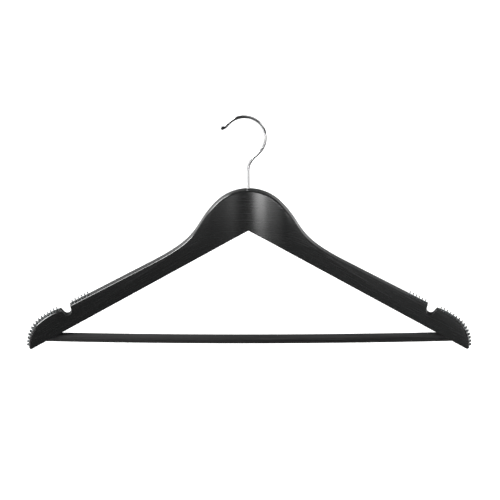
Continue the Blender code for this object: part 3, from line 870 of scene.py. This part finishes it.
def makeGrip(name, path, teeth, firstLand, lastHeight, side, node):
    rack = mirrored(rackOutline(path, teeth, firstLand, lastHeight), side)
    piece = newObject(name, plateMesh(name, rack, grip["width"] * mm / 2, grip["edgeRadius"] * mm, 1))
    inset = grip["finEndInset"] * mm
    fin = bandOutline(path, -grip["finDepth"] * mm, -grip["base"] * mm / 2, inset, gripLength(teeth) - inset)
    tool = newObject("fin", plateMesh("fin", mirrored(fin, side), grip["finThickness"] * mm / 2))
    cut(piece, tool, "UNION")
    sweepForward(piece)
    softShade(piece, grip["sharpFrom"])
    piece.data.materials.clear()
    piece.data.materials.append(softVinyl)
    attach(piece, "hanger")
    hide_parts(node)
    return piece


for side, label in ((-1, "left"), (1, "right")):
    inner = (innerGripPath(), grip["innerTeeth"], grip["endLand"], grip["toothHeight"])
    outer = (outerGripPath(), grip["outerTeeth"], grip["lipLand"], grip["tipToothHeight"])
    makeGrip(f"{label}InnerGrip", *inner, side, f"inner_grip_{label}")
    makeGrip(f"{label}OuterGrip", *outer, side, f"outer_grip_{label}")
print("grips made")


# Bar

barPiece = newObject("flutedBar", barMesh("flutedBar", -barEnd, barEnd))
softShade(barPiece, bar["sharpFrom"])
barPiece.data.materials.append(blackStain)
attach(barPiece, "hanger")
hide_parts("trouser_bar")
print("bar made")


# Hook

hook = {
    "wireRadius": 1.65,
    "bowRadius": 21.1,
    "bowOffset": 3.7,
    "neckAngle": 45.0,
    "neckRadius": 18.0,         # 10 in the CAD, which leaves the neck's long sweep to this piece
    "bowEndAngle": 136.0,
    "leadLength": 4.5,          # 1.8 in the CAD, and ballLeadLength too
    "leadBendRadius": 4.0,
    "leadBendAngle": 24.0,
    "ballLeadLength": 0.2,
    "ballRadius": 1.9,
    "rivetRadius": 2.7,
    "rivetHeight": 1.6,
    "rivetTop": 19.8,           # below the crest
    "bendStep": 2.0,
    "wireSteps": 10,
    "ballSteps": (40, 24),      # round its equator, and from pole to pole
    "sharpFrom": 40.0,
}


def wireBend(points, heading, radius, turn):
    side = math.copysign(1.0, turn)
    centre = points[-1] + side * radius * fromAngle(heading + 90)
    count = math.ceil(abs(turn) / hook["bendStep"])
    for k in range(1, count + 1):
        points.append(centre - side * radius * fromAngle(heading + turn * k / count + 90))
    return heading + turn


def wireRun(points, heading, length):
    points.append(points[-1] + length * fromAngle(heading))


def hookPoints():
    inner = (hook["bowRadius"] - hook["wireRadius"]) * mm
    centre = Vector((-hook["bowOffset"] * mm, -math.sqrt(inner**2 - (hook["bowOffset"] * mm) ** 2)))
    bowStart = centre + hook["bowRadius"] * mm * fromAngle(-hook["neckAngle"])
    neck = math.radians(hook["neckAngle"])
    neckRadius = hook["neckRadius"] * mm
    slant = (bowStart.x - neckRadius * (1 - math.cos(neck))) / math.sin(neck)
    shankTop = bowStart.y - slant * math.cos(neck) - neckRadius * math.sin(neck)
    bottom = crestZ - (hook["rivetTop"] + hook["rivetHeight"] / 2) * mm
    points = [Vector((0.0, bottom)), Vector((0.0, crestZ)), Vector((0.0, shankTop))]
    heading = wireBend(points, 90.0, neckRadius, -hook["neckAngle"])
    wireRun(points, heading, slant)
    heading = wireBend(points, heading, hook["bowRadius"] * mm, hook["neckAngle"] + hook["bowEndAngle"])
    wireRun(points, heading, hook["leadLength"] * mm)
    heading = wireBend(points, heading, hook["leadBendRadius"] * mm, -hook["leadBendAngle"])
    wireRun(points, heading, (hook["ballLeadLength"] + hook["ballRadius"]) * mm)
    return points


def makeHook():
    points = hookPoints()
    data = bpy.data.curves.new("chromeHook", "CURVE")
    data.dimensions = "3D"
    data.bevel_depth = hook["wireRadius"] * mm
    data.bevel_resolution = hook["wireSteps"]
    data.use_fill_caps = True
    spline = data.splines.new("POLY")
    spline.points.add(len(points) - 1)
    for target, point in zip(spline.points, points):
        target.co = (point.x, 0.0, point.y, 1.0)
    piece = newObject("chromeHook", curveMesh(data))
    ballData = bpy.data.meshes.new("ball")
    work = bmesh.new()
    around, down = hook["ballSteps"]
    bmesh.ops.create_uvsphere(work, u_segments=around, v_segments=down, radius=hook["ballRadius"] * mm)
    work.to_mesh(ballData)
    work.free()
    ball = newObject("ball", ballData)
    ball.location = (points[-1].x, 0.0, points[-1].y)
    cut(piece, ball, "UNION")
    top, bottom = -hook["rivetTop"] * mm, -(hook["rivetTop"] + hook["rivetHeight"]) * mm
    radius = hook["rivetRadius"] * mm
    rivet = newObject("rivet", turnedMesh("rivet", [(0, top), (radius, top), (radius, bottom), (0, bottom)]))
    rivet.location.z = crestZ
    cut(piece, rivet, "UNION")
    softShade(piece, hook["sharpFrom"])
    piece.data.materials.clear()
    piece.data.materials.append(chromeMaterial((points[-1].x, 0.0, points[-1].y)))
    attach(piece, "hook")
    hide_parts("hook")
    return piece


makeHook()
print("hook made")

for node, finish in (
    ("hook_washer", zincPlate), ("hook_sleeve", blackSteel), ("bar_brad_left", zincPlate), ("bar_brad_right", zincPlate)
):
    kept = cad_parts[node]
    kept.data.materials.clear()
    kept.data.materials.append(finish)
print("kept pieces finished")


# Studio: a white sweep behind and a pale table below, in a dark room with one big lamp, two small ones to the right
# and narrow ones in front

studio = {
    "paper": "#e7e7e7",
    "floorDrop": 1150.0,        # below the rail seat
    "floorStart": 1800.0,       # behind the hanger
    "floorReach": (5000.0, 9000.0),     # to each side, and to the back
    "floorLift": 0.35,          # what the paper adds for rays that show the background
    "room": 0.05,
    "table": 0.92,
    "tableEdge": -0.085,        # its height as a direction's Z, at the sides
    "tableSoftness": (-0.035, 0.03),
    "tableLean": (0.115, 0.015),    # lower in front and higher behind
    "tableTilt": 0.09,          # and higher to the right
    "backdropStart": (0.1, 0.3),    # a direction's Y, over which the table turns into the backdrop
    "frontGap": ((-21.0, -17.0, 11.5, 14.5), (-0.95, -0.88, 1.1, 1.2)),     # bearings and heights with no table
    "tableHoles": [
        # direction, inner and outer half angle
        ((0.62, -0.10, -0.78), 43.0, 51.0),
        ((0.30, -0.75, -0.59), 12.0, 20.0),
        ((0.42, 0.62, -0.67), 14.0, 22.0),
        ((-0.40, 0.30, -0.87), 15.0, 27.0),
    ],
    "glow": ((0.6, 0.9), (0.26, 0.10), 0.35),   # on the wall behind: its Y, the heights over which it fades, strength
    "bigLamp": [
        # bearings, heights and strength of its soft cloth and of the bulb's hot area behind the cloth
        ((-128.0, -112.0, -60.0, -46.0), (-0.28, -0.18, 0.76, 0.84), 1.2),
        ((-120.0, -106.0, -60.0, -52.0), (0.46, 0.56, 0.82, 0.88), 17.0),
    ],
    "sideLamps": [
        # direction, inner and outer half angle, strength
        ((0.87, -0.17, 0.46), 7.0, 13.0, 3.0),
        ((0.45, -0.10, 0.89), 10.0, 34.0, 0.5),
    ],
    "strip": [
        # bearing of the narrow lamps in front and how bright they are there
        (-16.0, 0.0), (-10.4, 0.0), (-9.4, 0.09), (-7.8, 0.19), (-5.8, 0.27), (-5.0, 0.90), (-3.9, 1.0), (-3.2, 0.72),
        (-2.2, 0.0), (0.6, 0.0), (1.6, 0.08), (2.9, 0.17), (4.4, 0.09), (6.0, 0.07), (12.0, 0.03), (16.0, 0.0),
    ],
    "stripHeight": (-0.262, -0.2045, -0.18, -0.14),
    "stripStrength": 10.8,
}

floorMesh = bpy.data.meshes.new("floor")
floorZ, floorY = -studio["floorDrop"] * mm, studio["floorStart"] * mm
sideways, back = (reach * mm for reach in studio["floorReach"])
corners = [(-sideways, floorY), (sideways, floorY), (sideways, back), (-sideways, back)]
floorMesh.from_pydata([(x, y, floorZ) for x, y in corners], [], [(0, 1, 2, 3)])
floor = newObject("floor", floorMesh)
floorMaterial, tree = newMaterial("whitePaperSweep")    # matt white paper: no gloss, only the hanger's soft shadow
paper = addNode(tree, "ShaderNodeBsdfDiffuse", {}, {"Color": linearColor(studio["paper"])})
rays = addNode(tree, "ShaderNodeLightPath")
seen = rays.outputs["Is Camera Ray"]
for ray in ("Is Glossy Ray", "Is Transmission Ray"):
    seen = addNode(tree, "ShaderNodeMath", {"operation": "MAXIMUM"}, {0: seen, 1: rays.outputs[ray]})
lift = addNode(tree, "ShaderNodeMath", {"operation": "MULTIPLY"}, {0: seen, 1: studio["floorLift"]})
glow = addNode(tree, "ShaderNodeEmission", {}, {"Strength": lift})
both = addNode(tree, "ShaderNodeAddShader", {}, {0: paper, 1: glow})
addNode(tree, "ShaderNodeOutputMaterial", {}, {"Surface": both})
floorMesh.materials.append(floorMaterial)

world = bpy.data.worlds.new("studio")
bpy.context.scene.world = world
world.use_nodes = True
tree = world.node_tree
tree.nodes.clear()
way = addNode(tree, "ShaderNodeTexCoord").outputs["Generated"]
axes = addNode(tree, "ShaderNodeSeparateXYZ", {}, {0: way})
toRight, toBack, height = (axes.outputs[axis] for axis in "XYZ")
toFront = addNode(tree, "ShaderNodeMath", {"operation": "MULTIPLY"}, {0: toBack, 1: -1.0})
turn = addNode(tree, "ShaderNodeMath", {"operation": "ARCTAN2"}, {0: toRight, 1: toFront})
bearing = addNode(tree, "ShaderNodeMath", {"operation": "DEGREES"}, {0: turn})     # 0 in front, 90 on the right


def softShare(*edges):
    # The product of soft edges, each 0 at its first value and 1 at its second
    share = 1.0
    for value, none, full in edges:
        edge = addNode(tree, "ShaderNodeMapRange", {"interpolation_type": "SMOOTHSTEP"},
                       {"Value": value, "From Min": none, "From Max": full, "To Min": 0.0, "To Max": 1.0})
        share = addNode(tree, "ShaderNodeMath", {"operation": "MULTIPLY"}, {0: edge, 1: share})
    return share


def windowShare(bearings, heights):
    edges = []
    for value, (start, fullStart, fullEnd, end) in ((bearing, bearings), (height, heights)):
        edges += [(value, start, fullStart), (value, end, fullEnd)]
    return softShare(*edges)


def discShare(direction, inner, outer):
    facing = addNode(tree, "ShaderNodeVectorMath", {"operation": "DOT_PRODUCT"},
                     {0: way, 1: Vector(direction).normalized()})
    return softShare((facing.outputs["Value"], math.cos(math.radians(outer)), math.cos(math.radians(inner))))


frontSlope, rearSlope = studio["tableLean"]
inFront = addNode(tree, "ShaderNodeMath", {"operation": "MULTIPLY"}, {0: toBack, 1: frontSlope})
inRear = addNode(tree, "ShaderNodeMath", {"operation": "MULTIPLY"}, {0: toBack, 1: rearSlope})
lean = addNode(tree, "ShaderNodeMath", {"operation": "MINIMUM"}, {0: inFront, 1: inRear})
edge = addNode(tree, "ShaderNodeMath", {"operation": "MULTIPLY_ADD"}, {0: toRight, 1: studio["tableTilt"], 2: lean})
below = addNode(tree, "ShaderNodeMath", {"operation": "SUBTRACT"}, {0: edge, 1: height})
none, full = (softness - studio["tableEdge"] for softness in studio["tableSoftness"])
table = softShare((below, none, full))
behind = softShare((toBack, *studio["backdropStart"]))
backdrop = addNode(tree, "ShaderNodeMath", {"operation": "MULTIPLY"}, {0: table, 1: behind})
for hole in (windowShare(*studio["frontGap"]), *[discShare(*disc) for disc in studio["tableHoles"]]):
    rest = addNode(tree, "ShaderNodeMath", {"operation": "SUBTRACT"}, {0: 1.0, 1: hole})
    table = addNode(tree, "ShaderNodeMath", {"operation": "MULTIPLY"}, {0: table, 1: rest})

first, last = studio["strip"][0][0], studio["strip"][-1][0]
along = addNode(tree, "ShaderNodeMapRange", {},
                {"Value": bearing, "From Min": first, "From Max": last, "To Min": 0.0, "To Max": 1.0})
row = addNode(tree, "ShaderNodeValToRGB", {}, {"Fac": along})
setRamp(row, [((at - first) / (last - first), (share, share, share, 1.0)) for at, share in studio["strip"]])
bottom, fullBottom, fullTop, top = studio["stripHeight"]
band = softShare((height, bottom, fullBottom), (height, top, fullTop))
strip = addNode(tree, "ShaderNodeMath", {"operation": "MULTIPLY"}, {0: row, 1: band})

depths, heights, strength = studio["glow"]
lights = [
    (table, studio["table"] - studio["room"]),
    (softShare((toBack, *depths), (height, *heights)), strength),
    *[(windowShare(bearings, heights), strength) for bearings, heights, strength in studio["bigLamp"]],
    *[(discShare(*disc), strength) for *disc, strength in studio["sideLamps"]],
    (strip, studio["stripStrength"]),
]
light = studio["room"]
for share, strength in lights:
    light = addNode(tree, "ShaderNodeMath", {"operation": "MULTIPLY_ADD"}, {0: share, 1: strength, 2: light})

# White wherever the camera looks, and behind the hanger for what metal and vinyl show of the background
rays = addNode(tree, "ShaderNodeLightPath")
bounced = addNode(tree, "ShaderNodeMath", {"operation": "MAXIMUM"},
                  {0: rays.outputs["Is Glossy Ray"], 1: rays.outputs["Is Transmission Ray"]})
shown = addNode(tree, "ShaderNodeMath", {"operation": "MULTIPLY"}, {0: bounced, 1: backdrop})
white = addNode(tree, "ShaderNodeMath", {"operation": "MAXIMUM"}, {0: rays.outputs["Is Camera Ray"], 1: shown})
brightness = addNode(tree, "ShaderNodeMix", {}, {0: white, 2: light, 3: 1.0})
air = addNode(tree, "ShaderNodeBackground", {}, {"Color": linearColor("#ffffff"), "Strength": brightness})
addNode(tree, "ShaderNodeOutputWorld", {}, {"Surface": air})
print("studio lit")


# Camera, placed at the photograph's viewing angle

view = {
    "azimuth": 1.2,
    "elevation": 14.68,
    "roll": -0.377,
    "distance": 3000.0,
    "lens": 215.3,
    "sensor": 36.0,
    "target": (1.35, 0.0, -134.45),
}
azimuth, elevation, roll = (math.radians(view[angle]) for angle in ("azimuth", "elevation", "roll"))
forward = Vector((
    -math.sin(azimuth) * math.cos(elevation), math.cos(azimuth) * math.cos(elevation), -math.sin(elevation)))
right = Vector((math.cos(azimuth), math.sin(azimuth), 0.0))
up = right.cross(forward)
rolledRight = right * math.cos(roll) + up * math.sin(roll)
rolledUp = up * math.cos(roll) - right * math.sin(roll)
cameraData = bpy.data.cameras.new("camera")
cameraData.lens = view["lens"]
cameraData.sensor_width = view["sensor"]
camera = newObject("camera", cameraData)
place = Matrix((rolledRight, rolledUp, -forward)).transposed().to_4x4()
place.translation = (Vector(view["target"]) - forward * view["distance"]) * mm
camera.matrix_world = place
bpy.context.scene.camera = camera
bpy.context.scene.view_settings.view_transform = "Standard"
print("camera placed")
